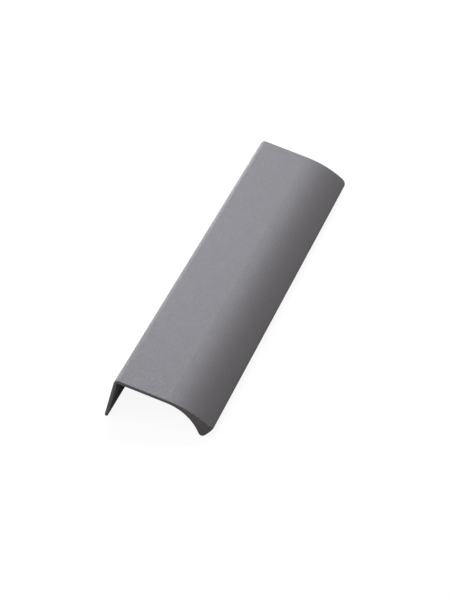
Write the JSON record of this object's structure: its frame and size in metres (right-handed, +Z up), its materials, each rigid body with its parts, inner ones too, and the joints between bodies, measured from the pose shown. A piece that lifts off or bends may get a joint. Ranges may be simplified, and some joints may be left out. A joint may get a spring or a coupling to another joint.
{
  "type": "handleless finger pull profile",
  "caption": "Straight extruded edge pull: a flat plate with a short screwed leg behind and a curved lip in front with a finger groove under it.",
  "frame": {"origin": "centre of the bounding box in plan, on the level floor that the loose profile lies on", "axes": "+Y along the profile's length, +Z up, +X from the screwed leg towards the lip"},
  "size_m": [0.0424, 0.2, 0.0168],
  "materials": {
    "coated_aluminium": "satin"
  },
  "bodies": {
    "root": {"pull_profile": "coated_aluminium"}
  },
  "joints": []
}
